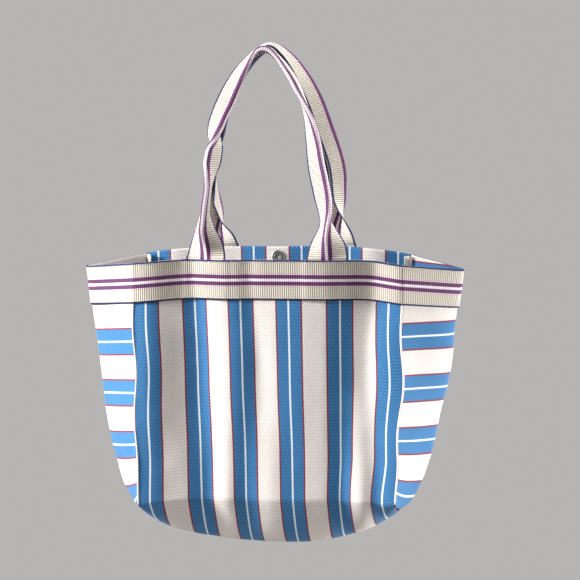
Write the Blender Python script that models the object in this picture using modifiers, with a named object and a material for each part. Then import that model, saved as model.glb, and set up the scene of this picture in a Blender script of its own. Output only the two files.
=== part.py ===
"""Striped woven beach bag, hanging open from its two webbing handles.

Frame: +Z up, X across the width, -Y the front. The origin is the hang point, where both handle
loops rest on whatever holds the bag up, at the middle of their undersides. Metres throughout.
"""
import math

import bpy
from mathutils import Vector

# ---- driving dimensions -------------------------------------------------------------------------
HANDLE_DROP = 0.300          # hang point down to the rim
PANEL_TOP_HALF = 0.200       # half the front panel's width at the rim
PANEL_LOW_HALF = 0.193       # and at the bottom crease
PANEL_HEIGHT = 0.365         # rim to bottom crease
SEAM_TOP_DEPTH = 0.060       # half the bag's depth at a seam, at the rim
SEAM_LOW_DEPTH = 0.082       # and at the bottom crease
MID_TOP_DEPTH = 0.062        # half depth at the middle of the panels, at the rim
MID_LOW_DEPTH = 0.071        # and at the bottom crease, where the sagging base pulls it in
RIM_CORNER_DROP = 0.006      # the rim's corners hang lower than its middle
CREASE_LIFT = 0.010          # the bottom crease's middle hangs higher than its corners
GUSSET_OUT = 0.079           # how far a gusset's fold stands outside its seams, at the rim
GUSSET_TAPER = 0.40          # share of that lost down to the crease
GUSSET_CLOSE = 8             # power that sets how suddenly a gusset closes at its lower end
GUSSET_DROOP = 0.014         # how much lower its fold hangs, at the rim
DROOP_TAPER = 0.5            # share of that lost down to the crease
GUSSET_ROUND = 0.12          # roundness of that fold, as a share of the half depth
BASE_SAG = 0.075             # the base cloth's lowest line below the crease's middle
EDGE_SAG = 0.020             # sag of the base's side edges, which pull the gussets' ends down
EDGE_PULL = 6                # power that keeps that pull near the gussets' lower ends
SAG_POWER, SAG_ROOT = 2.6, 0.62   # shape of the sag across the bag

CLOTH = 0.0010               # cloth thickness
WEBBING = 0.0018             # webbing thickness
WEBBING_WIDTH = 0.060
SEAM_GAP = 0.0008            # each cloth's edge stops this far from the seam line
STRAP_OFFSET = 0.0017        # middle of a sewn strap end, outside the middle of the cloth
BAND_OFFSET = 0.0038         # middle of the rim band, which covers the strap ends
STRAP_END = 0.058            # length of strap under the band

HANDLE_X = 0.0895            # middle of each strap where it leaves the rim
HANDLE_START = 0.0005        # the loop starts just above the sewn strap end
HANDLE_FLAT = 0.010          # height at which a strap starts folding lengthwise
HANDLE_FOLDED = 0.085        # and at which it is fully folded in half
FOLD_HALF = 0.002            # half the width of the folded strap's back
APEX_DEPTH = 0.0175          # half distance between the two loops' middles at the hang point
BACK_LOOP_LIFT = 0.003       # the back loop, which is a little wider, passes this much higher
HINGE_OUT = 0.0038           # a strap folds over the band about this line, outside the cloth

SNAP_DEPTH = 0.015           # middle of the magnetic snap below the rim
SNAP_RADIUS = 0.009
SNAP_START = 0.0008          # the snap's back face, inside the middle of the cloth
WASHER_RADIUS = 0.008
WASHER_OFFSET = 0.0014       # outer face of a washer, outside the middle of the cloth
WASHER_THICKNESS = 0.0006
BINDING_RADIUS = 0.0014
BINDING_INSET = 0.0034
BINDING_START = 0.004        # share of the wall's height where the binding starts

PANEL_STEPS = 16             # strips across a panel
PANEL_ROWS = 8               # and down it
BASE_ROWS = 12
GUSSET_STEPS = 12
BAND_ROWS = 3

RIM_Z = -HANDLE_DROP
CREASE_Z = RIM_Z - PANEL_HEIGHT
APEX_HEIGHT = HANDLE_DROP + FOLD_HALF + 0.5 * WEBBING
HINGE_Y = MID_TOP_DEPTH + HINGE_OUT

# Middle line of the right half of each loop: distance from the bag's middle, height above the rim.
FRONT_LOOP_HALF = (
    (HANDLE_X, HANDLE_START), (HANDLE_X, 0.020), (0.0900, 0.050), (0.0885, 0.080), (0.0810, 0.142),
    (0.0710, 0.199), (0.0520, 0.242), (0.0310, 0.276), (0.0110, 0.2985), (0.0, APEX_HEIGHT),
)
BACK_LOOP_HALF = (
    (HANDLE_X, HANDLE_START), (HANDLE_X, 0.020), (0.0910, 0.050), (0.0930, 0.080), (0.0920, 0.140),
    (0.0780, 0.200), (0.0600, 0.243), (0.0350, 0.281), (0.0120, 0.3015),
    (0.0, APEX_HEIGHT + BACK_LOOP_LIFT),
)

# ---- materials ----------------------------------------------------------------------------------
MATERIALS = {
    "striped_cloth": ((0.13, 0.27, 0.52, 1.0), 0.85, 0.0),
    "webbing": ((0.62, 0.56, 0.47, 1.0), 0.80, 0.0),
    "binding_tape": ((0.80, 0.78, 0.72, 1.0), 0.85, 0.0),
    "snap_metal": ((0.42, 0.42, 0.43, 1.0), 0.35, 1.0),
    "magnet": ((0.10, 0.10, 0.11, 1.0), 0.50, 0.6),
}


def clear_scene():
    for obj in list(bpy.data.objects):
        bpy.data.objects.remove(obj, do_unlink=True)


def make_material(name):
    colour, roughness, metallic = MATERIALS[name]
    material = bpy.data.materials.get(name) or bpy.data.materials.new(name)
    material.use_nodes = True
    shader = material.node_tree.nodes["Principled BSDF"]
    shader.inputs["Base Color"].default_value = colour
    shader.inputs["Roughness"].default_value = roughness
    shader.inputs["Metallic"].default_value = metallic
    return material


def own_material(node, kind):
    """A sub-part's own copy of one of the finishes above."""
    material = make_material(kind).copy()
    material.name = node + "_" + kind
    return material


# ---- small maths --------------------------------------------------------------------------------
def mix(a, b, t):
    return a + (b - a) * t


def smooth_step(low, high, value):
    t = min(max((value - low) / (high - low), 0.0), 1.0)
    return t * t * (3.0 - 2.0 * t)


def steps(first, last, count):
    return [mix(first, last, i / count) for i in range(count + 1)]


def eased_steps(count):
    """Values from -1 to 1 that crowd together towards both ends."""
    return [-math.cos(math.pi * i / count) for i in range(count + 1)]


def catmull_rom(points, samples):
    """A smooth curve through 2-D points, with the same number of samples on each stretch."""
    padded = [points[0]] + list(points) + [points[-1]]
    curve = []
    for i in range(len(points) - 1):
        p0, p1, p2, p3 = (Vector(p) for p in padded[i:i + 4])
        for k in range(samples):
            t = k / samples
            curve.append(0.5 * (2 * p1 + (p2 - p0) * t + (2 * p0 - 5 * p1 + 4 * p2 - p3) * t * t
                                + (3 * p1 - p0 - 3 * p2 + p3) * t ** 3))
    curve.append(Vector(points[-1]))
    return curve


# ---- the bag's walls ----------------------------------------------------------------------------
def seam_line(t):
    """Half width, half depth and height of a side seam, t from 0 at the rim to 1 at the crease."""
    half_width = mix(PANEL_TOP_HALF, PANEL_LOW_HALF, t)
    half_depth = mix(SEAM_TOP_DEPTH, SEAM_LOW_DEPTH, t)
    return half_width, half_depth, mix(RIM_Z - RIM_CORNER_DROP, CREASE_Z, t)


def panel_point(u, t, side):
    """A point of the front (side -1) or back (side 1) panel, u from -1 to 1 across it."""
    half_width, half_depth, seam_z = seam_line(t)
    middle = mix(MID_TOP_DEPTH, MID_LOW_DEPTH, t)
    depth = mix(middle, half_depth, u ** 4)
    middle_z = mix(RIM_Z, CREASE_Z + CREASE_LIFT, t)
    return Vector((half_width * u, side * depth, mix(middle_z, seam_z, u ** 4)))


def base_point(u, v):
    """A point of the base between the creases, v from -1 at the front to 1 at the back."""
    front = panel_point(u, 1.0, -1)
    sag = mix(EDGE_SAG, BASE_SAG, max(1.0 - abs(u) ** SAG_POWER, 0.0) ** SAG_ROOT)
    return Vector((front.x, -front.y * v, front.z - sag * (1.0 - v * v)))


def gusset_point(w, t, side):
    """A point of the left (side -1) or right (side 1) gusset, w from -1 at its front seam to 1."""
    half_width, half_depth, seam_z = seam_line(t)
    bend = math.sqrt(1.0 + GUSSET_ROUND ** 2) - GUSSET_ROUND
    vee = 1.0 - (math.sqrt(w * w + GUSSET_ROUND ** 2) - GUSSET_ROUND) / bend
    low_edge = 1.0 - SEAM_GAP / PANEL_HEIGHT
    open_share = math.sqrt(max(1.0 - (t / low_edge) ** GUSSET_CLOSE, 0.0)) * vee
    out = GUSSET_OUT * (1.0 - GUSSET_TAPER * t) * open_share
    droop = GUSSET_DROOP * (1.0 - DROOP_TAPER * t) * open_share
    pull = EDGE_SAG * t ** EDGE_PULL * (1.0 - w * w)
    return Vector((side * (half_width + out), half_depth * w, seam_z - droop - pull))


def panel_share():
    """The share of a panel's half width that its cloth covers before the seam gap."""
    return 1.0 - SEAM_GAP / PANEL_TOP_HALF


def gusset_share():
    slant = math.hypot(GUSSET_OUT, SEAM_TOP_DEPTH)
    return 1.0 - SEAM_GAP / slant


def rim_contour(t):
    """The bag's outline round the walls at height t, as one closed run of points."""
    across = [u * panel_share() for u in eased_steps(PANEL_STEPS)]
    along = [w * gusset_share() for w in steps(-1.0, 1.0, GUSSET_STEPS)]
    run = [panel_point(u, t, -1) for u in across]
    run += [gusset_point(w, t, 1) for w in along]
    run += [panel_point(u, t, 1) for u in reversed(across)]
    run += [gusset_point(w, t, -1) for w in reversed(along)]
    return run


def offset_outward(run, distance):
    """Moves a closed run of points outwards in plan, keeping its sides parallel."""
    moved = []
    count = len(run)
    for i, point in enumerate(run):
        before = (point - run[i - 1]).xy.normalized()
        after = (run[(i + 1) % count] - point).xy.normalized()
        first = Vector((before.y, -before.x))
        second = Vector((after.y, -after.x))
        shift = (first + second) / (1.0 + first.dot(second)) * distance
        moved.append(point + Vector((shift.x, shift.y, 0.0)))
    return moved


# ---- building meshes ----------------------------------------------------------------------------
def finish_object(name, mesh, kind, collection, origin=Vector((0.0, 0.0, 0.0)), parent=None):
    obj = bpy.data.objects.new(name, mesh)
    mesh.materials.append(own_material(name, kind))
    if parent is None:
        obj.location = origin
    else:
        obj.parent = parent
    collection.objects.link(obj)
    return obj


def sheet_object(name, rows, thickness, kind, collection, closed=False, parent=None):
    """A sheet through rows of points, thickened evenly on both sides."""
    origin = parent.location if parent else Vector((0.0, 0.0, 0.0))
    width = len(rows[0])
    vertices = [point - origin for row in rows for point in row]
    faces = []
    for r in range(len(rows) - 1):
        for c in range(width if closed else width - 1):
            n = (c + 1) % width
            faces.append((r * width + c, r * width + n, (r + 1) * width + n, (r + 1) * width + c))
    mesh = bpy.data.meshes.new(name)
    mesh.from_pydata(vertices, [], faces)
    mesh.shade_smooth()
    obj = finish_object(name, mesh, kind, collection, parent=parent)
    solid = obj.modifiers.new("thickness", "SOLIDIFY")
    solid.thickness = thickness
    solid.offset = 0.0
    return obj


def turned_object(name, profile, kind, collection, location, facing):
    """A profile (radius, height), run down its outer side, turned about an axis square to a panel.

    facing is the axis's way along Y, 1 on the front panel and -1 on the back one.
    """
    mesh = bpy.data.meshes.new(name)
    vertices = [(radius, 0.0, height) for radius, height in profile]
    mesh.from_pydata(vertices, [(i, i + 1) for i in range(len(profile) - 1)], [])
    obj = finish_object(name, mesh, kind, collection, origin=location)
    lean = math.atan((MID_LOW_DEPTH - MID_TOP_DEPTH) / PANEL_HEIGHT)
    obj.rotation_euler = (-facing * (math.pi / 2.0 + lean), 0.0, 0.0)
    turn = obj.modifiers.new("turn", "SCREW")
    turn.axis = "Z"
    turn.steps = 32
    turn.render_steps = 32
    turn.use_merge_vertices = True
    turn.merge_threshold = 0.00001
    return obj


# ---- sub-parts ----------------------------------------------------------------------------------
def build_main_panel(collection):
    """Front, base and back in one length of cloth."""
    across = [u * panel_share() for u in eased_steps(PANEL_STEPS)]
    rows = [[panel_point(u, t, -1) for u in across] for t in steps(0.0, 1.0, PANEL_ROWS)]
    rows += [[base_point(u, v) for u in across] for v in steps(-1.0, 1.0, BASE_ROWS)[1:-1]]
    rows += [[panel_point(u, t, 1) for u in across] for t in steps(1.0, 0.0, PANEL_ROWS)]
    sheet_object("main_panel", rows, CLOTH, "striped_cloth", collection)


def build_gusset(name, side, collection):
    low_edge = 1.0 - SEAM_GAP / PANEL_HEIGHT
    heights = [low_edge * math.sin(0.5 * math.pi * k) for k in steps(0.0, 1.0, GUSSET_STEPS)]
    along = [w * gusset_share() for w in steps(-1.0, 1.0, GUSSET_STEPS)]
    rows = [[gusset_point(w, t, side) for w in along] for t in heights]
    sheet_object(name, rows, CLOTH, "striped_cloth", collection)


def build_rim_band(collection):
    heights = steps(0.0, WEBBING_WIDTH / PANEL_HEIGHT, BAND_ROWS)
    rows = [offset_outward(rim_contour(t), BAND_OFFSET) for t in heights]
    sheet_object("rim_band", rows, WEBBING, "webbing", collection, closed=True)


def build_seam_binding(name, side, collection):
    """Binding tape over the raw seam edges inside: down one seam, across the base, up the other."""
    def along_seam(t, face):
        half_width, half_depth, z = seam_line(t)
        x = side * (half_width - BINDING_INSET)
        return Vector((x, face * (half_depth - BINDING_INSET), z))

    low = 1.0 - BINDING_INSET / PANEL_HEIGHT
    heights = steps(BINDING_START, low, 10)
    points = [along_seam(t, -1) for t in heights]
    front, back = along_seam(low, -1), along_seam(low, 1)
    for v in steps(-1.0, 1.0, 8)[1:-1]:
        sag = Vector((0.0, 0.0, EDGE_SAG * (1.0 - v * v)))
        points.append(front.lerp(back, 0.5 * (v + 1.0)) - sag)
    points += [along_seam(t, 1) for t in reversed(heights)]
    curve = bpy.data.curves.new(name, "CURVE")
    curve.dimensions = "3D"
    curve.bevel_depth = BINDING_RADIUS
    curve.bevel_resolution = 1
    curve.use_fill_caps = True
    spline = curve.splines.new("POLY")
    spline.points.add(len(points) - 1)
    for target, point in zip(spline.points, points):
        target.co = (*point, 1.0)
    finish_object(name, curve, "binding_tape", collection)


def build_strap_ends(collection):
    """The sewn ends of the straps, flat between the cloth and the rim band."""
    def on_panel(x, depth, side):
        point = panel_point(x / PANEL_TOP_HALF, depth / PANEL_HEIGHT, side)
        return Vector((x, point.y + side * STRAP_OFFSET, RIM_Z - depth))

    half = 0.5 * WEBBING_WIDTH
    for side, face in ((-1, "front"), (1, "back")):
        for middle, hand in ((-HANDLE_X, "left"), (HANDLE_X, "right")):
            across = steps(middle - half, middle + half, 4)
            rows = [[on_panel(x, d, side) for x in across] for d in steps(0.0, STRAP_END, BAND_ROWS)]
            sheet_object("strap_end_" + face + "_" + hand, rows, WEBBING, "webbing", collection)


def handle_section(point, tangent, side):
    """Across a strap: flat at the rim, folded in half lengthwise with its back outwards above."""
    height = point.y
    fold = 0.5 * math.pi * smooth_step(HANDLE_FLAT, HANDLE_FOLDED, height)
    flap = 0.5 * WEBBING_WIDTH - FOLD_HALF
    middle = mix(MID_TOP_DEPTH + STRAP_OFFSET, APEX_DEPTH, smooth_step(0.0, APEX_HEIGHT, height))
    back = middle + 0.5 * flap * math.sin(fold)
    inward = Vector((tangent.y, 0.0, -tangent.x))
    centre = Vector((point.x, side * back, RIM_Z + height))
    section = []
    for hand in (-1, 1):
        flap_way = hand * math.cos(fold) * inward + Vector((0.0, -side * math.sin(fold), 0.0))
        root = centre + hand * FOLD_HALF * inward
        run = [root + flap_way * flap * k for k in (1.0, 0.5, 0.0)]
        section += run if hand < 0 else run[::-1]
    return section


def build_handle(name, side, loop_half, collection):
    half = catmull_rom(loop_half, 3)
    path = [Vector((-p.x, p.y)) for p in half] + [Vector(p) for p in reversed(half[:-1])]
    up, down = Vector((0.0, 1.0)), Vector((0.0, -1.0))
    rows = [handle_section(path[0], up, side)]
    for before, point, after in zip(path, path[1:], path[2:]):
        rows.append(handle_section(point, (after - before).normalized(), side))
    rows.append(handle_section(path[-1], down, side))
    hinge = bpy.data.objects.new(name + "_hinge", None)
    hinge.location = (0.0, side * HINGE_Y, RIM_Z)
    collection.objects.link(hinge)
    sheet_object(name, rows, WEBBING, "webbing", collection, parent=hinge)


def build_snap(collection):
    """Magnetic snap: a cover with its magnet on the back panel, a stud on the front panel."""
    def at_panel(side, outward):
        point = panel_point(0.0, SNAP_DEPTH / PANEL_HEIGHT, side)
        return point + Vector((0.0, side * outward, 0.0))

    for side, face in ((-1, "front"), (1, "back")):
        outer = at_panel(side, WASHER_OFFSET)
        washer = (
            (0.0, WASHER_THICKNESS), (WASHER_RADIUS, WASHER_THICKNESS), (WASHER_RADIUS, 0.0),
            (0.0, 0.0),
        )
        turned_object("snap_washer_" + face, washer, "snap_metal", collection, outer, -side)

    socket = at_panel(1, -SNAP_START)
    hole, wall, height = 0.0026, 0.0006, 0.0028
    cover = (
        (hole, height), (SNAP_RADIUS - wall, height), (SNAP_RADIUS, height - wall),
        (SNAP_RADIUS, 0.0), (SNAP_RADIUS - wall, 0.0), (SNAP_RADIUS - wall, height - wall),
        (hole, height - wall), (hole, height),
    )
    turned_object("snap_cover", cover, "snap_metal", collection, socket, -1)
    ring, gap = 0.0030, 0.0004
    magnet = (
        (ring, height - wall - gap), (SNAP_RADIUS - wall - gap, height - wall - gap),
        (SNAP_RADIUS - wall - gap, 0.0), (ring, 0.0), (ring, height - wall - gap),
    )
    turned_object("snap_magnet", magnet, "magnet", collection, socket, -1)

    post, base, tip = 0.0022, 0.0010, 0.0032
    stud = (
        (0.0, tip), (post, tip), (post, base), (SNAP_RADIUS - base, base),
        (SNAP_RADIUS, 0.5 * base), (SNAP_RADIUS, 0.0), (0.0, 0.0),
    )
    turned_object("snap_stud", stud, "snap_metal", collection, at_panel(-1, -SNAP_START), 1)


def main():
    clear_scene()
    collection = bpy.data.collections.new("beach_bag")
    bpy.context.scene.collection.children.link(collection)
    build_main_panel(collection)
    build_gusset("gusset_left", -1, collection)
    build_gusset("gusset_right", 1, collection)
    build_rim_band(collection)
    build_seam_binding("seam_binding_left", -1, collection)
    build_seam_binding("seam_binding_right", 1, collection)
    build_strap_ends(collection)
    build_handle("front_handle", -1, FRONT_LOOP_HALF, collection)
    build_handle("back_handle", 1, BACK_LOOP_HALF, collection)
    build_snap(collection)
    bpy.context.view_layer.update()


main()
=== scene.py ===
"""The striped beach bag's visible surfaces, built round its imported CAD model.

Metres, in the part's frame: +Z up, X across the bag, -Y the front, the origin at the hang point.
A hand is -1 for the left side and 1 for the right one. A face is -1 for the front and 1 for the
back. A level, or t, is a share of the walls' height, from 0 at the rim to 1 at the bottom crease.
"""
import math

import bpy
import numpy as np
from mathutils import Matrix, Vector, noise


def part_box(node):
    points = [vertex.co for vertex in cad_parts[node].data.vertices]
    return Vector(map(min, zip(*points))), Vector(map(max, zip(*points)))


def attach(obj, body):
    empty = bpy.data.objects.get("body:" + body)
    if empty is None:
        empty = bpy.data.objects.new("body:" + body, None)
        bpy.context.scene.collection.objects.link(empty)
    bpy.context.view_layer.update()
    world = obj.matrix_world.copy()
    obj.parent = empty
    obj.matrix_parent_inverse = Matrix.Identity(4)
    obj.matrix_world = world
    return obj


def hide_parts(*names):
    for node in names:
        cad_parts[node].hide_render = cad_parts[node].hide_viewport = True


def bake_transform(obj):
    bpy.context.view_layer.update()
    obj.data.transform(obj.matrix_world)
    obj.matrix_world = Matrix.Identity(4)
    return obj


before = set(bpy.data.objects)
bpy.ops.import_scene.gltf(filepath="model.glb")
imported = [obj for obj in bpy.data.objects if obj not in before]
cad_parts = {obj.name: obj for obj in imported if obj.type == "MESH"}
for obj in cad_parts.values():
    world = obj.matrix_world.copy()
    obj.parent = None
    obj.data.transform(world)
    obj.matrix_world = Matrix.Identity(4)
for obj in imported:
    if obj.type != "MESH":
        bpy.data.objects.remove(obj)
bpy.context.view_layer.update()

# ---- sizes, from the frame and from the real cut of the cloth -----------------------------------
RIM_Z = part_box("strap_end_front_left")[1][2]
PANEL_HEIGHT = 0.365
PANEL_LOW_HALF = 0.193
CREASE_Z = RIM_Z - PANEL_HEIGHT
SEAM_TOP_DEPTH = 0.060
SEAM_LOW_DEPTH = 0.082
MID_TOP_DEPTH = 0.062
MID_LOW_DEPTH = 0.071
CREASE_LIFT = 0.010          # the crease's middle hangs higher than its corners
BASE_SAG = 0.080
SAG_POWER = 2.6
EDGE_SAG = 0.020             # sag of the base's side edges
EDGE_PULL = 6                # how suddenly a gusset follows that sag towards its lower end
BASE_CLOTH = 0.210           # length of cloth between the two creases
PANEL_CLOTH = 0.420          # the main cloth's width
GUSSET_CLOTH = 0.200

# The bag hangs a little unevenly, so its left (-1) and right (1) sides differ.
RIM_CORNER_DROP = {-1: 0.005, 1: 0.008}
CREASE_CORNER_RISE = {-1: 0.0, 1: 0.006}
SAG_ROOT = {-1: 0.66, 1: 0.80}
GUSSET_OUT = {-1: 0.079, 1: 0.082}
GUSSET_TAPER = {-1: 0.36, 1: 0.50}
GUSSET_CLOSE = {-1: 8, 1: 5}          # how suddenly a gusset closes at its lower end
GUSSET_DROOP = {-1: 0.011, 1: 0.014}
DROOP_TAPER = 0.5
GUSSET_ROUND = 0.09                   # how round the fold of a gusset's V is

CLOTH = 0.0009
WEBBING = 0.0016
WEBBING_WIDTH = 0.060
TAPE_THICKNESS = 0.0014
SEAM_GAP = 0.0008
SEAM_WAVE = 0.0022
STRAP_OFFSET = 0.0017        # a sewn strap end's middle lies this far out from the cloth's middle
BAND_OFFSET = 0.0023
BAND_OVER_STRAP = 0.0016     # how much further out the band lies over a sewn strap end
BAND_LIFTED = (0.0290, 0.0400)   # distances from a strap's middle: fully lifted, and back down
SNAP_OUT = 0.0006            # the snap's halves and washers lie this far off the cloth's middle
RIM_RISE = {-1: 0.0, 1: 0.005}   # the back handle holds the back rim a little higher

HANDLE_X = 0.0895
APEX_HEIGHT = -RIM_Z + 0.0029
APEX_DEPTH = 0.0175
BACK_LOOP_LIFT = 0.003
SEWN_LENGTH = 0.058

# The cloth's pattern, measured from the middle of a blue stripe: half widths of the white line, of
# the blue, and of the blue with its red edges.
STRIPE_PERIOD = 0.076
WHITE_HALF, BLUE_HALF, RED_HALF = 0.0014, 0.0181, 0.0206
HERRINGBONE = 0.013          # two columns of the weave's zigzag
CHEVRON = 0.0048             # from one zigzag line to the next
BLUE_CENTRE = 0.038          # middle of the blue stripe nearest the middle of the main cloth
# The gussets' cloth: middle of a blue stripe below the rim, pull along, and how far the stripes
# rise towards the fold, at the rim and at the crease.
GUSSET_BLUE = {-1: 0.1150, 1: 0.1044}
GUSSET_PULL = {-1: 0.983, 1: 0.965}
GUSSET_BIAS = {-1: (0.0, -0.0075), 1: (0.0125, -0.0055)}

# Folds that the handles pull into the walls, at three levels: places across, and how far the
# cloth stands outwards there, in millimetres.
FRONT_FOLDS = (
    (0.0, ((-200, 0), (-184, 2), (-165, 0), (-138, -7), (-112, -12), (-92, -6), (-68, -1), (-45, 1),
           (-24, -3), (-10, 0), (12, 0), (50, 1), (88, 1), (122, -5), (154, -13), (180, -6),
           (200, 0))),
    (0.45, ((-200, 0), (-182, 4), (-160, 1), (-132, -6), (-104, -11), (-84, -4), (-60, 2), (-42, 2),
            (-14, -3), (14, 1), (50, 2), (84, 0), (118, -7), (146, -10), (176, -2), (200, 0))),
    (1.0, ((-200, 0), (-172, 2), (-130, -1), (-90, -7), (-62, 1), (-32, -3), (2, 2), (50, 1),
           (84, -1), (108, -7), (136, 1), (160, -6), (180, 0), (200, 0))),
)
BACK_FOLDS = (
    (0.0, ((-200, 0), (-160, -4), (-120, 0), (-60, 1), (0, 0), (60, 1), (110, 0), (150, -5),
           (200, 0))),
    (0.45, ((-200, 0), (-150, -6), (-100, 0), (-40, 2), (20, -3), (80, 1), (130, -6), (200, 0))),
    (1.0, ((-200, 0), (-150, -3), (-90, 2), (-30, -3), (30, 2), (90, -3), (150, 1), (200, 0))),
)
FRONT_FOLD_DEPTH = 1.3       # the front's folds are deepened by this
FOLD_SOFTNESS = 0.008

# Where places of the flat cloth lie across the gathered front wall, at some levels.
FLAT_PLACES = (-0.210, -0.190, -0.114, -0.038, 0.038, 0.114, 0.190, 0.210)
FRONT_PLACES = (
    (0.0, (-0.1990, -0.1790, -0.1090, -0.0390, 0.0322, 0.1076, 0.1774, 0.1990)),
    (0.5, (-0.1980, -0.1762, -0.1056, -0.0368, 0.0330, 0.1067, 0.1778, 0.1990)),
    (0.8, (-0.1970, -0.1764, -0.1025, -0.0347, 0.0350, 0.1060, 0.1730, 0.1915)),
    (1.0, (-0.1955, -0.1772, -0.1017, -0.0349, 0.0353, 0.1035, 0.1663, 0.1880)),
)
PLACE_SOFTNESS = 0.006
BACK_SHARE = 0.963           # the back wall's width at the rim as a share of its flat cloth


# ---- numbers along rows and runs ----------------------------------------------------------------
def mix(a, b, t):
    return a + (b - a) * t


def smooth_step(low, high, value):
    t = np.clip((np.asarray(value, float) - low) / (high - low), 0.0, 1.0)
    return t * t * (3.0 - 2.0 * t)


def lengths_along(run):
    """The length from a run's first point to each of its points."""
    return np.concatenate([[0.0], np.cumsum(np.linalg.norm(np.diff(run, axis=0), axis=1))])


def read_along(places, lengths, run):
    """A run's columns of numbers read at some lengths along it."""
    return np.stack([np.interp(places, lengths, run[:, k]) for k in range(run.shape[1])], axis=-1)


def rounded(row, step, width, reach, keep_slope):
    """Evenly spaced values with their corners rounded over a width."""
    kernel = np.exp(-(np.arange(-reach, reach + 1) * step / width) ** 2)
    first, last = (row[1] - row[0], row[-1] - row[-2]) if keep_slope else (0.0, 0.0)
    ahead = np.arange(1, reach + 1)
    padded = np.concatenate([row[0] - first * ahead[::-1], row, row[-1] + last * ahead])
    return np.convolve(padded, kernel / kernel.sum(), mode="valid")


def grid_normals(points):
    down = np.gradient(points, axis=0)
    across = np.gradient(points, axis=1)
    normals = np.cross(across, down)
    return normals / np.maximum(np.linalg.norm(normals, axis=-1, keepdims=True), 1e-12)


def ripple(points, size, height, seed):
    """Adds soft unevenness of one scale to a grid of points, along its own normals."""
    normals = grid_normals(points)
    moved = points.copy()
    for index in np.ndindex(points.shape[:2]):
        p = points[index]
        amount = noise.noise(Vector((p[0], p[1], p[2])) / size + Vector((seed, 0.0, 0.0)))
        moved[index] = p + normals[index] * amount * height
    return moved


# ---- the walls as surfaces of their flat cloth --------------------------------------------------
FINE = np.linspace(-0.22, 0.22, 441)     # fine places across, a little past both seams


def fine_row(places, values, width):
    """Values given at some places, read on the fine row, with rounded corners."""
    return rounded(np.interp(FINE, places, values), FINE[1] - FINE[0], width, 30, True)


def fold_table(folds, depth):
    rows = [fine_row([x * 0.001 for x, _ in row], [y * depth * 0.001 for _, y in row], FOLD_SOFTNESS)
            for _, row in folds]
    return [level for level, _ in folds], rows


FOLDS = {-1: fold_table(FRONT_FOLDS, FRONT_FOLD_DEPTH), 1: fold_table(BACK_FOLDS, 1.0)}
PLACES = ([level for level, _ in FRONT_PLACES],
          [fine_row(FLAT_PLACES, row, PLACE_SOFTNESS) for _, row in FRONT_PLACES])


def between_levels(t, levels, rows):
    """Rows of numbers for one level, eased between the rows given for some levels."""
    k = int(np.clip(np.searchsorted(levels, t, side="right") - 1, 0, len(levels) - 2))
    share = float(smooth_step(levels[k], levels[k + 1], t))
    return mix(rows[k], rows[k + 1], share)


def across_wall(flat, t, face):
    """Place across the bag of some places of a wall's flat cloth."""
    if face > 0:
        return flat * mix(BACK_SHARE, PANEL_LOW_HALF / (0.5 * PANEL_CLOTH), t)
    return np.interp(flat, FINE, between_levels(t, *PLACES))


def seam_line(t, hand, face):
    """Point on one of the four seams of the gussets. Each seam waves a little in its own way."""
    x = float(across_wall(np.array([hand * 0.5 * PANEL_CLOTH]), t, face)[0])
    x += hand * SEAM_WAVE * math.sin(math.pi * t) * math.sin(5.0 * math.pi * t + 1.3 * hand + face)
    z = mix(RIM_Z - RIM_CORNER_DROP[hand], CREASE_Z + CREASE_CORNER_RISE[hand], t)
    return x, face * mix(SEAM_TOP_DEPTH, SEAM_LOW_DEPTH, t), z


def wall_depth(x, t, face):
    """Depth of a wall's cloth at some places across it. Its folds end at the seams."""
    u = np.clip(x / abs(seam_line(t, 1, face)[0]), -1.0, 1.0)
    depth = mix(mix(MID_TOP_DEPTH, MID_LOW_DEPTH, t), mix(SEAM_TOP_DEPTH, SEAM_LOW_DEPTH, t), u ** 4)
    folds = np.interp(x, FINE, between_levels(t, *FOLDS[face]))
    return face * (depth + folds * (1.0 - np.abs(u) ** 12))


def panel_rows(flat, levels, face):
    """Points of a front or back wall: one row for each level, one column for each flat place."""
    half = 0.5 * PANEL_CLOTH
    u = flat / half
    rows = []
    for t in levels:
        left, _, left_z = seam_line(t, -1, face)
        right, _, right_z = seam_line(t, 1, face)
        ends = across_wall(np.array([-half, half]), t, face)
        to_seam = np.where(flat < 0.0, left - ends[0], right - ends[1])
        px = across_wall(flat, t, face) + to_seam * np.abs(u) ** 6
        middle_z = mix(RIM_Z + RIM_RISE[face], CREASE_Z + CREASE_LIFT, t)
        pz = mix(middle_z, np.where(flat < 0.0, left_z, right_z), u ** 4)
        rows.append(np.stack([px, wall_depth(px, t, face), pz], axis=-1))
    return np.array(rows)


def base_rows(flat, shares):
    """Points of the base between the creases, shares from -1 at the front to 1 at the back."""
    u = flat / (0.5 * PANEL_CLOTH)
    front = panel_rows(flat, [1.0], -1)[0]
    back = panel_rows(flat, [1.0], 1)[0]
    root = np.where(u < 0.0, SAG_ROOT[-1], SAG_ROOT[1])
    sag = mix(EDGE_SAG, BASE_SAG, np.maximum(1.0 - np.abs(u) ** SAG_POWER, 0.0) ** root)
    rows = []
    for v in shares:
        row = mix(front, back, 0.5 * (v + 1.0))
        row[:, 2] -= sag * (1.0 - v * v)
        rows.append(row)
    return np.array(rows)


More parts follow.
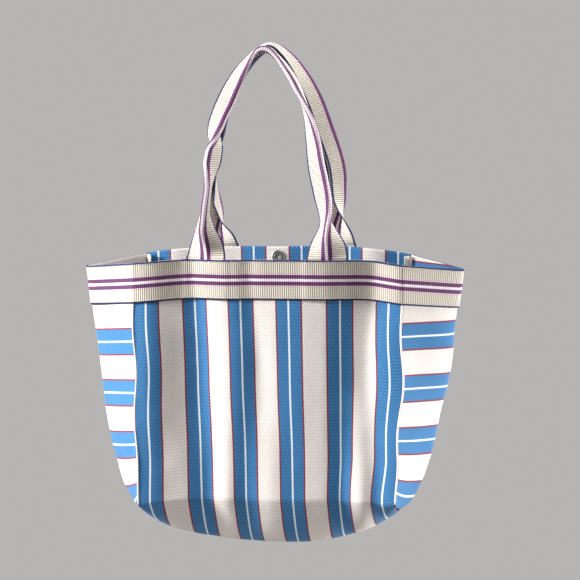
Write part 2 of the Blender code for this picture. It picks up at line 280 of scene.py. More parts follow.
def gusset_rows(shares, levels, hand):
    """Points of a side gusset, shares from -1 at its front seam to 1 at its back seam."""
    bend = math.sqrt(1.0 + GUSSET_ROUND ** 2) - GUSSET_ROUND
    vee = 1.0 - (np.sqrt(shares ** 2 + GUSSET_ROUND ** 2) - GUSSET_ROUND) / bend
    low_edge = 1.0 - SEAM_GAP / PANEL_HEIGHT
    rows = []
    for t in levels:
        front = np.array(seam_line(t, hand, -1))
        back = np.array(seam_line(t, hand, 1))
        row = mix(front[None, :], back[None, :], 0.5 * (shares[:, None] + 1.0))
        close = math.sqrt(max(1.0 - (t / low_edge) ** GUSSET_CLOSE[hand], 0.0))
        row[:, 0] += hand * GUSSET_OUT[hand] * (1.0 - GUSSET_TAPER[hand] * t) * close * vee
        row[:, 2] -= GUSSET_DROOP[hand] * (1.0 - DROOP_TAPER * t) * close * vee
        row[:, 2] -= EDGE_SAG * t ** EDGE_PULL * (1.0 - shares ** 2)
        rows.append(row)
    return np.array(rows)


# ---- meshes -------------------------------------------------------------------------------------
def new_piece(name, mesh, material):
    """Puts a finished mesh into the scene."""
    mesh.shade_smooth()
    mesh.materials.append(material)
    piece = bpy.data.objects.new(name, mesh)
    bpy.context.scene.collection.objects.link(piece)
    return piece


def grid_mesh(name, points, uvs, thickness, material, closed=False):
    """A sheet through a grid of points, with its flat cloth coordinates, thickened evenly."""
    rows, columns = points.shape[:2]
    spans = columns if closed else columns - 1
    r, c = np.meshgrid(np.arange(rows - 1), np.arange(spans), indexing="ij")
    n = (c + 1) % columns
    below = (r + 1) * columns
    quads = np.stack([r * columns + c, r * columns + n, below + n, below + c], axis=-1)
    mesh = bpy.data.meshes.new(name)
    mesh.from_pydata(points.reshape(-1, 3).tolist(), [], quads.reshape(-1, 4).tolist())
    if closed:
        uvs = np.concatenate([uvs, 2.0 * uvs[:, -1:] - uvs[:, -2:-1]], axis=1)
    corner = np.stack([uvs[:-1, :-1], uvs[:-1, 1:], uvs[1:, 1:], uvs[1:, :-1]], axis=2)
    layer = mesh.uv_layers.new(name="cloth")
    layer.data.foreach_set("uv", corner.reshape(-1).astype(np.float32))
    sheet = new_piece(name, mesh, material)
    solid = sheet.modifiers.new("thickness", "SOLIDIFY")
    solid.thickness = thickness
    solid.offset = 0.0
    return sheet


def tube_mesh(name, paths, radius, material, sides=6):
    """Round threads along open runs of points, all in one mesh, with their ends drawn in."""
    vertices, faces = [], []
    for path in paths:
        tangents = np.gradient(path, axis=0)
        tangents /= np.linalg.norm(tangents, axis=1, keepdims=True)
        up = np.array([0.0, 0.0, 1.0]) if abs(tangents[0][2]) < 0.9 else np.array([1.0, 0.0, 0.0])
        start = len(vertices)
        last = len(path) - 1
        for i, (point, tangent) in enumerate(zip(path, tangents)):
            first = np.cross(tangent, up)
            first /= np.linalg.norm(first)
            second = np.cross(tangent, first)
            size = radius * (0.55 if i in (0, last) else 1.0)
            for k in range(sides):
                angle = 2.0 * math.pi * k / sides
                vertices.append(point + size * (math.cos(angle) * first + math.sin(angle) * second))
        for i in range(last):
            a = start + i * sides
            for k in range(sides):
                n = (k + 1) % sides
                faces.append((a + k, a + n, a + sides + n, a + sides + k))
        faces.append(tuple(start + k for k in reversed(range(sides))))
        faces.append(tuple(start + last * sides + k for k in range(sides)))
    mesh = bpy.data.meshes.new(name)
    mesh.from_pydata([tuple(v) for v in vertices], [], faces)
    return new_piece(name, mesh, material)


def turned_mesh(name, profile, centre, facing, material):
    """A profile (radius, height) turned about an axis along Y, with many steps."""
    steps, count = 64, len(profile)
    vertices, faces = [], []
    for k in range(steps):
        angle = 2.0 * math.pi * k / steps
        for radius, height in profile:
            vertices.append((radius * math.cos(angle), facing * height, radius * math.sin(angle)))
        n = (k + 1) % steps
        for i in range(count - 1):
            quad = (k * count + i, k * count + i + 1, n * count + i + 1, n * count + i)
            faces.append(quad if facing < 0 else quad[::-1])
    mesh = bpy.data.meshes.new(name)
    mesh.from_pydata(vertices, [], faces)
    piece = new_piece(name, mesh, material)
    mesh.set_sharp_from_angle(angle=math.radians(40.0))
    piece.location = centre
    return piece


def stitches(path, outwards, length, gap, lift):
    """Splits a run of points into short threads that dip at both ends."""
    lengths = lengths_along(path)
    bow = np.array([-0.4, 0.7, 1.0, 0.7, -0.4]) * lift
    threads = []
    at = 0.5 * gap
    while at + length < lengths[-1]:
        places = np.linspace(at, at + length, len(bow))
        points = read_along(places, lengths, path)
        threads.append(points + read_along(places, lengths, outwards) * bow[:, None])
        at += length + gap
    return threads


# ---- materials ----------------------------------------------------------------------------------
def rgb(red, green, blue):
    """Screen colour (0 to 255) as the linear colour that a shader takes."""
    def linear(value):
        value /= 255.0
        return value / 12.92 if value <= 0.04045 else ((value + 0.055) / 1.055) ** 2.4
    return (linear(red), linear(green), linear(blue), 1.0)


class Graph:
    """Short calls for the nodes of one material, or of the world."""

    def __init__(self, owner, shader="Principled BSDF"):
        owner.use_nodes = True
        self.owner = owner
        self.tree = owner.node_tree
        self.shader = self.tree.nodes[shader]

    def node(self, kind):
        return self.tree.nodes.new("ShaderNode" + kind)

    def put(self, socket, value):
        if isinstance(value, bpy.types.NodeSocket):
            self.tree.links.new(value, socket)
        else:
            socket.default_value = value

    def surface(self, colour, roughness, plain):
        """Sets the colour and roughness, and plain numbers on the shader's own sockets."""
        self.put(self.shader.inputs["Base Color"], colour)
        self.put(self.shader.inputs["Roughness"], roughness)
        for name, value in plain.items():
            self.shader.inputs[name].default_value = value

    def bump(self, height, distance, strength):
        node = self.node("Bump")
        node.inputs["Strength"].default_value = strength
        node.inputs["Distance"].default_value = distance
        self.put(node.inputs["Height"], height)
        self.put(self.shader.inputs["Normal"], node.outputs[0])

    def math(self, operation, *values):
        node = self.node("Math")
        node.operation = operation
        for socket, value in zip(node.inputs, values):
            self.put(socket, value)
        return node.outputs[0]

    def scaled(self, value, by, plus):
        return self.math("MULTIPLY_ADD", value, by, plus)

    def ramp(self, value, low, high, start=0.0, end=1.0):
        node = self.node("MapRange")
        node.interpolation_type = "SMOOTHSTEP"
        for socket, item in zip(node.inputs, (value, low, high, start, end)):
            self.put(socket, item)
        return node.outputs[0]

    def wave(self, value, period):
        """A sine of the value, from 0 to 1."""
        turned = self.math("SINE", self.math("MULTIPLY", value, 2.0 * math.pi / period))
        return self.scaled(turned, 0.5, 0.5)

    def line(self, distance, half, soft):
        """1 within half of zero distance, falling to 0 over soft."""
        return self.ramp(distance, half - soft, half + soft, 1.0, 0.0)

    def mix(self, share, first, second, blend="MIX"):
        node = self.node("Mix")
        node.data_type = "RGBA"
        node.blend_type = blend
        self.put(node.inputs[0], share)
        self.put(node.inputs[6], first)
        self.put(node.inputs[7], second)
        return node.outputs[2]

    def shaded(self, colour, *shades):
        """The colour times some grey shades."""
        shade = shades[0]
        for other in shades[1:]:
            shade = self.math("MULTIPLY", shade, other)
        grey = self.node("CombineColor")
        for socket in grey.inputs[:3]:
            self.put(socket, shade)
        return self.mix(1.0, colour, grey.outputs[0], "MULTIPLY")

    def cloth_place(self):
        """Place across and along the flat cloth, in metres."""
        node = self.node("UVMap")
        node.uv_map = "cloth"
        split = self.node("SeparateXYZ")
        self.put(split.inputs[0], node.outputs[0])
        return split.outputs[0], split.outputs[1]

    def noise(self, x, y, scale_x, scale_y, detail=2.0):
        """Noise over the flat cloth, with its own scale along and across."""
        join = self.node("CombineXYZ")
        self.put(join.inputs[0], self.math("MULTIPLY", x, scale_x))
        self.put(join.inputs[1], self.math("MULTIPLY", y, scale_y))
        return self.noise_at(join.outputs[0], 1.0, detail)

    def grain(self, scale, detail=2.0):
        """Noise through the piece's own space, for threads and metal."""
        return self.noise_at(self.node("TexCoord").outputs["Object"], scale, detail)

    def noise_at(self, place, scale, detail):
        node = self.node("TexNoise")
        node.inputs["Scale"].default_value = scale
        node.inputs["Detail"].default_value = detail
        self.put(node.inputs["Vector"], place)
        return node.outputs[0]


def striped_cloth_material():
    """Herringbone cotton: blue stripes with a fine white middle line and red edges, on cream."""
    g = Graph(bpy.data.materials.new("striped_cloth"))
    across, along = g.cloth_place()
    turns = g.math("FRACT", g.math("ADD", g.math("DIVIDE", across, STRIPE_PERIOD), 100.5))
    distance = g.math("MULTIPLY", g.math("ABSOLUTE", g.math("SUBTRACT", turns, 0.5)), STRIPE_PERIOD)

    column = g.math("FRACT", g.math("DIVIDE", across, HERRINGBONE))
    zigzag = g.math("MULTIPLY", g.math("ABSOLUTE", g.math("SUBTRACT", column, 0.5)), HERRINGBONE)
    chevron = g.wave(g.math("ADD", along, zigzag), CHEVRON)
    picks = g.wave(g.math("ADD", along, g.math("MULTIPLY", across, 2.2)), 0.0017)
    yarn = g.noise(across, along, 900.0, 260.0)
    patchy = g.noise(across, along, 28.0, 17.0, 3.0)
    weave = g.scaled(picks, 0.25, g.math("MULTIPLY", chevron, 0.75))

    cream = g.mix(weave, rgb(210, 198, 190), rgb(254, 249, 245))
    blue = g.mix(weave, rgb(14, 74, 136), rgb(84, 152, 202))
    red = g.mix(weave, rgb(96, 18, 38), rgb(166, 66, 84))
    white = g.mix(weave, rgb(214, 230, 240), rgb(250, 253, 254))
    colour = g.mix(g.line(distance, RED_HALF, 0.0005), cream, red)
    colour = g.mix(g.line(distance, BLUE_HALF, 0.0005), colour, blue)
    colour = g.mix(g.line(distance, WHITE_HALF, 0.0003), colour, white)
    colour = g.shaded(colour, g.scaled(yarn, 0.30, 0.83), g.scaled(patchy, 0.10, 0.95))
    g.surface(colour, g.scaled(yarn, 0.14, 0.76),
              {"Specular IOR Level": 0.25, "Sheen Weight": 0.15, "Sheen Roughness": 0.5})
    g.bump(g.scaled(yarn, 0.4, weave), 0.0003, 0.6)
    return g.owner


def webbing_material():
    """Ribbed cotton webbing: cream, two purple lines with pale and pink ones, navy edges, each with
    painted shade in the grooves between the ribs.
    """
    g = Graph(bpy.data.materials.new("webbing"))
    across, along = g.cloth_place()
    half = 0.5 * WEBBING_WIDTH
    distance = g.math("ABSOLUTE", g.math("SUBTRACT", across, half))
    rib_wave_and_groove_shade = g.wave(along, 0.0032)
    picks = g.wave(across, 0.0021)
    yarn = g.noise(across, along, 260.0, 700.0)
    patchy = g.noise(across, along, 30.0, 14.0, 3.0)

    # The darker value of each colour below, where the rib wave is low, is painted shade in the grooves
    # between the ribs; the same wave also drives the ribs' bump.
    purple = g.mix(rib_wave_and_groove_shade, rgb(74, 34, 72), rgb(120, 70, 116))
    pale = g.mix(rib_wave_and_groove_shade, rgb(226, 200, 218), rgb(254, 248, 252))
    pink = g.mix(rib_wave_and_groove_shade, rgb(168, 96, 132), rgb(238, 204, 216))
    navy = g.mix(rib_wave_and_groove_shade, rgb(24, 26, 72), rgb(54, 58, 112))
    colour = g.mix(rib_wave_and_groove_shade, rgb(166, 156, 140), rgb(238, 231, 219))
    for line_half, line_colour in ((0.0100, pink), (0.0090, pale), (0.0082, purple), (0.0021, pale)):
        colour = g.mix(g.line(distance, line_half, 0.0003), colour, line_colour)
    colour = g.mix(g.ramp(distance, half - 0.0029, half - 0.0023), colour, navy)
    colour = g.shaded(colour, g.scaled(picks, 0.07, 0.93), g.scaled(yarn, 0.16, 0.90),
                      g.scaled(patchy, 0.12, 0.94))
    g.surface(colour, g.scaled(yarn, 0.12, 0.74), {"Specular IOR Level": 0.3, "Sheen Weight": 0.1})
    g.bump(g.scaled(picks, 0.25, rib_wave_and_groove_shade), 0.0006, 0.7)
    return g.owner


def tape_material():
    """Plain woven cotton tape."""
    g = Graph(bpy.data.materials.new("binding_tape"))
    across, along = g.cloth_place()
    weave = g.math("MULTIPLY", g.wave(across, 0.0012), g.wave(along, 0.0012))
    yarn = g.noise(across, along, 500.0, 500.0)
    patchy = g.noise(across, along, 60.0, 60.0, 3.0)
    share = g.scaled(yarn, 0.6, g.math("MULTIPLY", patchy, 0.4))
    g.surface(g.mix(share, rgb(206, 198, 184), rgb(238, 232, 220)), g.scaled(yarn, 0.1, 0.78),
              {"Specular IOR Level": 0.25})
    g.bump(weave, 0.0003, 0.6)
    return g.owner


def thread_material(name, dark, light):
    """Twisted sewing thread, or the narrow ridge of a sewn edge."""
    g = Graph(bpy.data.materials.new(name))
    g.surface(g.mix(g.grain(900.0), dark, light), 0.6, {})
    return g.owner


def metal_material():
    """Nickel-plated snap, lightly rubbed."""
    g = Graph(bpy.data.materials.new("snap_metal"))
    rubbed = g.grain(420.0, 4.0)
    g.surface(g.mix(rubbed, rgb(138, 138, 136), rgb(186, 186, 182)), g.scaled(rubbed, 0.25, 0.25),
              {"Metallic": 1.0})
    g.bump(rubbed, 0.00005, 0.3)
    return g.owner


STRIPED = striped_cloth_material()
WEBBED = webbing_material()
TAPE = tape_material()
CREAM_THREAD = thread_material("cream_thread", rgb(196, 188, 170), rgb(236, 230, 216))
RIDGE_THREAD = thread_material("ridge_cloth", rgb(214, 206, 198), rgb(250, 246, 242))
METAL = metal_material()

# ---- walls --------------------------------------------------------------------------------------
PANEL_EDGE = 0.5 * PANEL_CLOTH - SEAM_GAP
PANEL_COLUMNS = np.linspace(-PANEL_EDGE, PANEL_EDGE, 141)    # places of the main cloth's columns
STITCH_INSET = 0.0028        # the band's two rows of stitches from its edges
STITCH_LENGTH = 0.0034
STITCH_GAP = 0.0014
STITCH_LIFT = 0.0005
THREAD_RADIUS = 0.0004
RIDGE_RADIUS = 0.0014
TAPE_INSETS = (0.0022, 0.0090)   # the binding tape stands in from its seam between these


def build_main_cloth():
    """Front wall, base and back wall in one sheet."""
    levels = np.linspace(0.0, 1.0, 111)
    shares = np.linspace(-1.0, 1.0, 61)[1:-1]
    points = np.concatenate([
        panel_rows(PANEL_COLUMNS, levels, -1),
        base_rows(PANEL_COLUMNS, shares),
        panel_rows(PANEL_COLUMNS, levels[::-1], 1),
    ])
    points = ripple(points, 0.075, 0.0016, 3.0)
    points = ripple(points, 0.028, 0.0005, 11.0)
    along = np.concatenate([
        levels * PANEL_HEIGHT,
        PANEL_HEIGHT + 0.5 * (shares + 1.0) * BASE_CLOTH,
        PANEL_HEIGHT + BASE_CLOTH + levels * PANEL_HEIGHT,
    ])
    uvs = np.stack(np.meshgrid(PANEL_COLUMNS + BLUE_CENTRE, along), axis=-1)
    cloth = grid_mesh("main_cloth", points, uvs, CLOTH, STRIPED)
    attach(cloth, "bag")
    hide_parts("main_panel")
    return cloth


def build_gusset(name, hand):
    """One side piece. Its rows lie closer together where it closes at its lower end."""
    edge = 1.0 - SEAM_GAP / (0.5 * GUSSET_CLOTH)
    shares = np.linspace(-edge, edge, 67)
    levels = (1.0 - np.linspace(1.0, 0.0, 121) ** 1.6) * (1.0 - SEAM_GAP / PANEL_HEIGHT)
    points = gusset_rows(shares, levels, hand)
    points = ripple(points, 0.07, 0.0022 * hand, 5.0 + hand)
    points = ripple(points, 0.03, 0.0006, 17.0 + hand)
    v, u = np.meshgrid(shares * 0.5 * GUSSET_CLOTH, levels * PANEL_HEIGHT * GUSSET_PULL[hand])
    u += np.outer(mix(*GUSSET_BIAS[hand], levels), 1.0 - np.abs(shares)) - GUSSET_BLUE[hand]
    gusset = grid_mesh(name + "_cloth", points, np.stack([u, v], axis=-1), CLOTH, STRIPED)
    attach(gusset, "bag")
    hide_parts(name)
    return gusset


def outline(depth, offset):
    """The run round the walls at a depth below the rim, moved out, with its outward directions."""
    t = depth / PANEL_HEIGHT
    shares = np.linspace(-0.99, 0.99, 67)
    run = np.concatenate([
        panel_rows(PANEL_COLUMNS, [t], -1)[0],
        gusset_rows(shares, [t], 1)[0],
        panel_rows(PANEL_COLUMNS, [t], 1)[0][::-1],
        gusset_rows(shares, [t], -1)[0][::-1],
    ])
    ahead = np.roll(run, -1, axis=0) - np.roll(run, 1, axis=0)
    out = np.stack([ahead[:, 1], -ahead[:, 0], np.zeros(len(run))], axis=-1)
    out /= np.linalg.norm(out, axis=1, keepdims=True)
    for _ in range(2):
        out = 0.25 * np.roll(out, 1, axis=0) + 0.5 * out + 0.25 * np.roll(out, -1, axis=0)
        out /= np.linalg.norm(out, axis=1, keepdims=True)
    from_strap = np.abs(np.abs(run[:, 0]) - HANDLE_X)
    over_strap = BAND_OVER_STRAP * (1.0 - smooth_step(*BAND_LIFTED, from_strap))
    return run + out * (offset + over_strap)[:, None], out


def build_rim_band():
    depths = np.linspace(0.0, WEBBING_WIDTH, 21)
    points = np.array([outline(depth, BAND_OFFSET)[0] for depth in depths])
    v, u = np.meshgrid(lengths_along(points[0]), depths)
    band = grid_mesh("rim_webbing", points, np.stack([u, v], axis=-1), WEBBING, WEBBED, closed=True)
    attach(band, "bag")
    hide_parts("rim_band")
    return band


def build_band_stitching():
    threads = []
    for depth in (STITCH_INSET, WEBBING_WIDTH - STITCH_INSET):
        run, out = outline(depth, BAND_OFFSET + 0.5 * WEBBING)
        threads += stitches(run, out, STITCH_LENGTH, STITCH_GAP, STITCH_LIFT)
    stitching = tube_mesh("band_stitching", threads, THREAD_RADIUS, CREAM_THREAD)
    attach(stitching, "bag")


def build_seam_ridges():
    """The narrow ridge where each gusset is sewn to the main cloth."""
    levels = np.linspace(0.003, 0.994, 90)
    for hand, hand_name in ((-1, "left"), (1, "right")):
        for face, face_name in ((-1, "front"), (1, "back")):
            centre = np.array([seam_line(t, hand, face) for t in levels])
            centre += np.array([0.45 * hand, 0.9 * face, 0.0]) * 0.5 * RIDGE_RADIUS
            name = "seam_ridge_" + face_name + "_" + hand_name
            ridge = tube_mesh(name, [centre], RIDGE_RADIUS, RIDGE_THREAD, 8)
            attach(ridge, "bag")


def tape_run(hand, inset):
    """A run at an inset from a gusset's seam: down the front, across the base, up the back."""
    levels = np.linspace(0.004, 0.985, 60)
    front = np.array([seam_line(t, hand, -1) for t in levels]) + [-hand * inset, inset, 0.0]
    back = np.array([seam_line(t, hand, 1) for t in levels[::-1]]) + [-hand * inset, -inset, 0.0]
    v = np.linspace(-1.0, 1.0, 31)[1:-1]
    base = mix(front[-1][None, :], back[0][None, :], 0.5 * (v[:, None] + 1.0))
    base[:, 2] += inset * 0.4 - EDGE_SAG * (1.0 - v * v)
    return np.concatenate([front, base, back])


def build_seam_tape(name, hand):
    """Binding tape over the raw edges inside, standing in from the seam."""
    low, high = TAPE_INSETS
    shares = np.linspace(0.0, 1.0, 5)
    points = np.array([mix(tape_run(hand, low), tape_run(hand, high), share) for share in shares])
    points = ripple(points, 0.02, 0.0006, 23.0 + hand)
    v, u = np.meshgrid(lengths_along(points[0]), shares * (high - low))
    uvs = np.stack([u, v], axis=-1)
    tape = grid_mesh(name.replace("binding", "tape"), points, uvs, TAPE_THICKNESS, TAPE)
    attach(tape, "bag")
    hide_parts(name)


# ---- handles ------------------------------------------------------------------------------------
# Half of each loop as seen from the front: place across and height above the rim.
FRONT_LOOP_HALF = (
    (HANDLE_X, 0.0005), (HANDLE_X, 0.020), (0.0900, 0.050), (0.0885, 0.080), (0.0810, 0.142),
    (0.0710, 0.199), (0.0520, 0.242), (0.0310, 0.276), (0.0110, 0.2985), (0.0, APEX_HEIGHT),
)
BACK_LOOP_HALF = (
    (HANDLE_X, 0.0005), (HANDLE_X, 0.020), (0.0910, 0.050), (0.0930, 0.080), (0.0920, 0.140),
    (0.0780, 0.200), (0.0600, 0.243), (0.0350, 0.281), (0.0120, 0.3015),
    (0.0, APEX_HEIGHT + BACK_LOOP_LIFT),
)
# How far each loop hangs to one side, how much narrower, and the heights between which that comes in.
LOOP_LEAN = {-1: (-0.003, -0.005, 0.04, 0.15), 1: (0.000, -0.008, 0.10, 0.19)}
# Share of a loop from its left foot to its right one, fold of each half, turn about the strap.
FRONT_TWIST = (
    (0.00, 6, 2), (0.025, 30, 4), (0.06, 62, 4), (0.10, 84, -4), (0.16, 87, -4), (0.19, 87, 12),
    (0.215, 84, 34), (0.245, 82, 28), (0.27, 78, -16), (0.30, 80, -44), (0.35, 84, -58), (0.40, 86, -48),
    (0.44, 87, -28), (0.47, 87, -8), (0.50, 87, 6), (0.53, 87, 6), (0.56, 87, 0), (0.62, 87, -2),
    (0.66, 87, 10), (0.70, 87, 28), (0.75, 88, 46), (0.82, 88, 58), (0.865, 88, 54), (0.895, 87, 36),
    (0.92, 82, 14), (0.945, 62, 2), (0.97, 32, -2), (1.00, 6, -2),
)
BACK_TWIST = (
    (0.00, 6, 0), (0.03, 34, -6), (0.06, 68, -24), (0.10, 86, -26), (0.13, 88, -6), (0.16, 88, 8),
    (0.26, 87, 10), (0.36, 87, 16), (0.44, 87, 14), (0.50, 87, 12), (0.56, 87, 32), (0.62, 87, 52),
    (0.72, 87, 62), (0.84, 86, 60), (0.895, 84, 48), (0.93, 64, 22), (0.965, 32, 6), (1.00, 6, 0),
)
TWIST_SOFTNESS = 0.008
FOLD_ROUND = 0.0050          # half the width that a strap's lengthwise fold bends in
LEAVES_WALL = 0.050          # above this height a strap has left the wall it is sewn to
LEAVES_BAND = 0.006          # and its folds start in this height
ACROSS_STRAP = np.linspace(-0.5 * WEBBING_WIDTH, 0.5 * WEBBING_WIDTH, 49)


def smooth_run(points, samples):
    """A smooth curve through points, with the same number of samples on each stretch."""
    points = np.array(points, float)
    padded = np.concatenate([points[:1], points, points[-1:]])
    run = []
    for i in range(len(points) - 1):
        p0, p1, p2, p3 = padded[i:i + 4]
        for t in np.arange(samples) / samples:
            run.append(0.5 * (2 * p1 + (p2 - p0) * t + (2 * p0 - 5 * p1 + 4 * p2 - p3) * t ** 2
                              + (3 * p1 - p0 - 3 * p2 + p3) * t ** 3))
    run.append(points[-1])
    return np.array(run)


def strap_line(face, loop_half, twist):
    """Middle line of a strap (across, height above the rim) with its folds and turns in radians.

    It runs from one sewn end over the loop to the other sewn end.
    """
    half = smooth_run(loop_half, 12)
    path = np.concatenate([half * [-1.0, 1.0], half[-2::-1]])
    lean, narrow, low, high = LOOP_LEAN[face]
    path[:, 0] += (lean + narrow * path[:, 0] / HANDLE_X) * smooth_step(low, high, path[:, 1])
    lengths = lengths_along(path)
    places = np.linspace(0.0, lengths[-1], 361)
    loop = read_along(places, lengths, path)
    shares = places / places[-1]
    table = np.array(twist, float)

    sewn = np.linspace(-SEWN_LENGTH, -0.0005, 24)
    left = np.stack([np.full_like(sewn, loop[0][0]), sewn], axis=-1)
    right = np.stack([np.full_like(sewn, loop[-1][0]), sewn[::-1]], axis=-1)
    leave = smooth_step(0.0, LEAVES_BAND, loop[:, 1])
    flat = np.zeros(len(sewn))
    angles = []
    for column in (1, 2):
        row = np.interp(shares, table[:, 0], table[:, column])
        row = rounded(row, shares[1] - shares[0], TWIST_SOFTNESS, 40, False)
        angles.append(np.radians(np.concatenate([flat, row * leave, flat])))
    return np.concatenate([left, loop, right]), *angles


def strap_row(face, place, tangent, fold, turn):
    """Points across a strap at one place of its middle line.

    Each half folds away from the middle towards the bag's inside, and the whole turns about the line.
    """
    x, height = place
    left_wall = float(smooth_step(0.0, LEAVES_WALL, height))
    risen = float(smooth_step(0.0, APEX_HEIGHT, height))
    inward = np.array([tangent[1], 0.0, -tangent[0]])
    inner = np.array([0.0, -face, 0.0])
    flaps = math.cos(turn) * inner + math.sin(turn) * inward
    spread = math.cos(turn) * inward - math.sin(turn) * inner

    bend = fold * smooth_step(0.0, FOLD_ROUND, np.abs(ACROSS_STRAP))
    step = ACROSS_STRAP[1] - ACROSS_STRAP[0]
    wide = np.cumsum(np.cos(bend)) * step
    deep = np.cumsum(np.sin(bend) * np.sign(ACROSS_STRAP)) * step
    wide -= wide[len(wide) // 2]
    deep -= deep[len(deep) // 2]

    sewn_at = MID_TOP_DEPTH + STRAP_OFFSET
    depth = face * mix(sewn_at, APEX_DEPTH, risen)
    middle = np.array([x, depth, RIM_Z + RIM_RISE[face] * (1.0 - risen) + height])
    middle -= flaps * 0.5 * deep.max() * left_wall
    row = middle + np.outer(wide, spread) + np.outer(deep, flaps)
    on_wall = wall_depth(row[:, 0], max(-height, 0.0) / PANEL_HEIGHT, face) + face * STRAP_OFFSET
    if height < 0.0:
        row[:, 1] = on_wall
    else:
        row[:, 1] += (on_wall - face * sewn_at) * (1.0 - left_wall)
    return row


def build_strap(name, face, loop_half, twist, nodes):
    """One strap: sewn flat under the rim band, folded in half lengthwise above it."""
    line, folds, turns = strap_line(face, loop_half, twist)
    tangents = np.gradient(line, axis=0)
    tangents /= np.linalg.norm(tangents, axis=1, keepdims=True)
    points = np.array([strap_row(face, *place) for place in zip(line, tangents, folds, turns)])
    loose = np.clip(line[:, 1] / LEAVES_WALL, 0.0, 1.0)[:, None, None]
    points = mix(points, ripple(points, 0.035, 0.0010, 31.0 + face), loose)
    lengths = lengths_along(line)
    uvs = np.stack(np.meshgrid(ACROSS_STRAP + 0.5 * WEBBING_WIDTH, lengths), axis=-1)
    strap = grid_mesh(name, points, uvs, WEBBING, WEBBED)

    # The thickness is applied first, because a blend works on the final mesh.
    solved = strap.evaluated_get(bpy.context.evaluated_depsgraph_get())
    strap.data = bpy.data.meshes.new_from_object(solved)
    strap.data.name = name
    strap.modifiers.clear()
    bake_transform(strap)
    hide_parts(*nodes)
    return strap, float(lengths[-1])


# ---- small parts --------------------------------------------------------------------------------
# Profiles of the snap's pieces: radius, and height off the cloth.
SNAP_RING = ((0.0002, 0.0012), (0.0024, 0.0012), (0.0027, 0.0026), (0.0032, 0.0029), (0.0044, 0.0029),
             (0.0049, 0.0024), (0.0054, 0.0024), (0.0060, 0.0029), (0.0078, 0.0029), (0.0088, 0.0022),
             (0.0090, 0.0012), (0.0090, 0.0), (0.0002, 0.0))
SNAP_BUTTON = ((0.0002, 0.0034), (0.0016, 0.0034), (0.0022, 0.0029), (0.0022, 0.0014), (0.0040, 0.0012),
               (0.0046, 0.0009), (0.0074, 0.0012), (0.0088, 0.0008), (0.0090, 0.0002), (0.0002, 0.0))
SNAP_DISC = ((0.0002, 0.0005), (0.0076, 0.0005), (0.0080, 0.0003), (0.0080, 0.0), (0.0002, 0.0))


def build_snap():
    """The magnetic snap: a dished ring on the back panel, its stud on the front one, their washers."""
    for face, face_name, inner, profile, nodes in (
            (1, "back", "socket", SNAP_RING, ("snap_cover", "snap_magnet")),
            (-1, "front", "stud", SNAP_BUTTON, ("snap_stud",))):
        low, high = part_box(nodes[0])
        depth = RIM_Z - 0.5 * (low[2] + high[2])
        z = RIM_Z + RIM_RISE[face] - depth
        wall = float(wall_depth(np.zeros(1), depth / PANEL_HEIGHT, face)[0])
        inside = (0.0, wall - face * SNAP_OUT, z)
        piece = turned_mesh("snap_" + inner + "_metal", profile, inside, -face, METAL)
        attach(piece, "bag")
        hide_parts(*nodes)
        outside = (0.0, wall + face * SNAP_OUT, z)
        washer = turned_mesh("snap_disc_" + face_name, SNAP_DISC, outside, face, METAL)
        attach(washer, "bag")
        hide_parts("snap_washer_" + face_name)


# ---- stage --------------------------------------------------------------------------------------
FLOOR_Z = -1.75
FLOOR_RADIUS = 1.0
WORLD_STRENGTH = 0.76
# The world's shade by direction, from -1 straight down to 1 straight up.
WORLD_DARK_BELOW, WORLD_PALE_ABOVE = -0.65, -0.28


def build_floor():
    bpy.ops.mesh.primitive_circle_add(
        vertices=96, radius=FLOOR_RADIUS, fill_type="NGON", location=(0.0, 0.0, FLOOR_Z))
    floor = bpy.context.object
    floor.name = "floor"
    g = Graph(bpy.data.materials.new("floor"))
    g.surface(rgb(184, 183, 181), 0.9, {})
    floor.data.materials.append(g.owner)


def build_world():
    """An even pale studio, darker from below."""
    world = bpy.data.worlds.new("studio")
    bpy.context.scene.world = world
    g = Graph(world, "Background")
    split = g.node("SeparateXYZ")
    g.put(split.inputs[0], g.node("TexCoord").outputs["Generated"])
    share = g.ramp(split.outputs[2], WORLD_DARK_BELOW, WORLD_PALE_ABOVE)
    g.put(g.shader.inputs["Color"], g.mix(share, rgb(56, 55, 54), rgb(206, 204, 203)))
    g.shader.inputs["Strength"].default_value = WORLD_STRENGTH


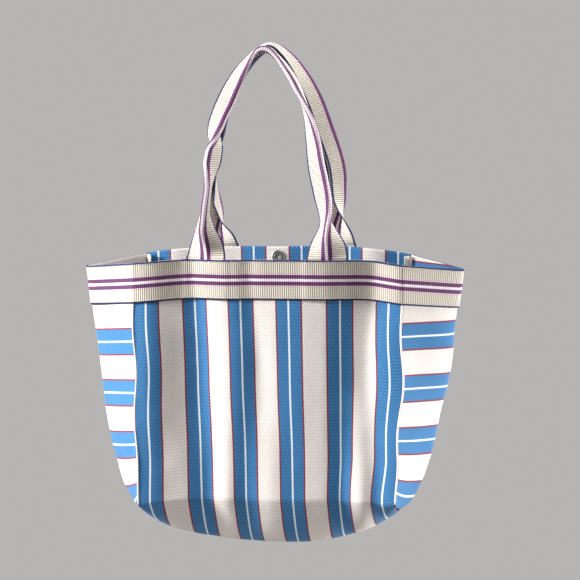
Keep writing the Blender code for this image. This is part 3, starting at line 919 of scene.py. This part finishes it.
def build_light(name, energy, size, location, target, spread=180.0):
    data = bpy.data.lights.new(name, "AREA")
    data.energy = energy
    data.size = size
    data.spread = math.radians(spread)
    light = bpy.data.objects.new(name, data)
    light.location = location
    aim = Vector(target) - Vector(location)
    light.rotation_euler = aim.to_track_quat("-Z", "Y").to_euler()
    bpy.context.scene.collection.objects.link(light)


def build_camera():
    """Slightly to the right of the bag's middle and slightly above it, at a portrait distance."""
    yaw, rise, roll = math.radians(7.8), math.radians(8.0), math.radians(-1.0)
    distance, frame_width = 3.0, 0.8480
    aim_right, aim_down = 0.0262, 0.3500
    way = Vector((math.sin(yaw) * math.cos(rise), -math.cos(yaw) * math.cos(rise), math.sin(rise)))
    right = Vector((math.cos(yaw), math.sin(yaw), 0.0))
    target = right * aim_right - way.cross(right) * aim_down
    data = bpy.data.cameras.new("camera")
    data.sensor_width = 36.0
    data.lens = data.sensor_width * distance / frame_width
    camera = bpy.data.objects.new("camera", data)
    camera.location = target + way * distance
    camera.rotation_euler = (-way).to_track_quat("-Z", "Y").to_euler()
    camera.rotation_euler.rotate_axis("Z", roll)
    bpy.context.scene.collection.objects.link(camera)
    bpy.context.scene.camera = camera


bpy.context.scene.view_settings.view_transform = "Standard"
build_floor()
build_world()
build_light("window", 178.0, 0.7, (-2.6, -0.80, 0.45), (0.0, 0.0, -0.45))
build_light("side", 3.2, 0.5, (1.35, 0.22, -0.70), (0.25, 0.0, -0.48), 60.0)
build_light("top", 20.0, 0.8, (0.70, 0.25, 0.90), (-0.10, 0.0, -0.35))
build_camera()

main_cloth = build_main_cloth()
left_gusset = build_gusset("gusset_left", -1)
right_gusset = build_gusset("gusset_right", 1)
band = build_rim_band()
build_band_stitching()
build_seam_ridges()
build_seam_tape("seam_binding_left", -1)
build_seam_tape("seam_binding_right", 1)
front_strap, front_length = build_strap(
    "front_strap", -1, FRONT_LOOP_HALF, FRONT_TWIST,
    ("front_handle", "strap_end_front_left", "strap_end_front_right"))
back_strap, back_length = build_strap(
    "back_strap", 1, BACK_LOOP_HALF, BACK_TWIST,
    ("back_handle", "strap_end_back_left", "strap_end_back_right"))
build_snap()
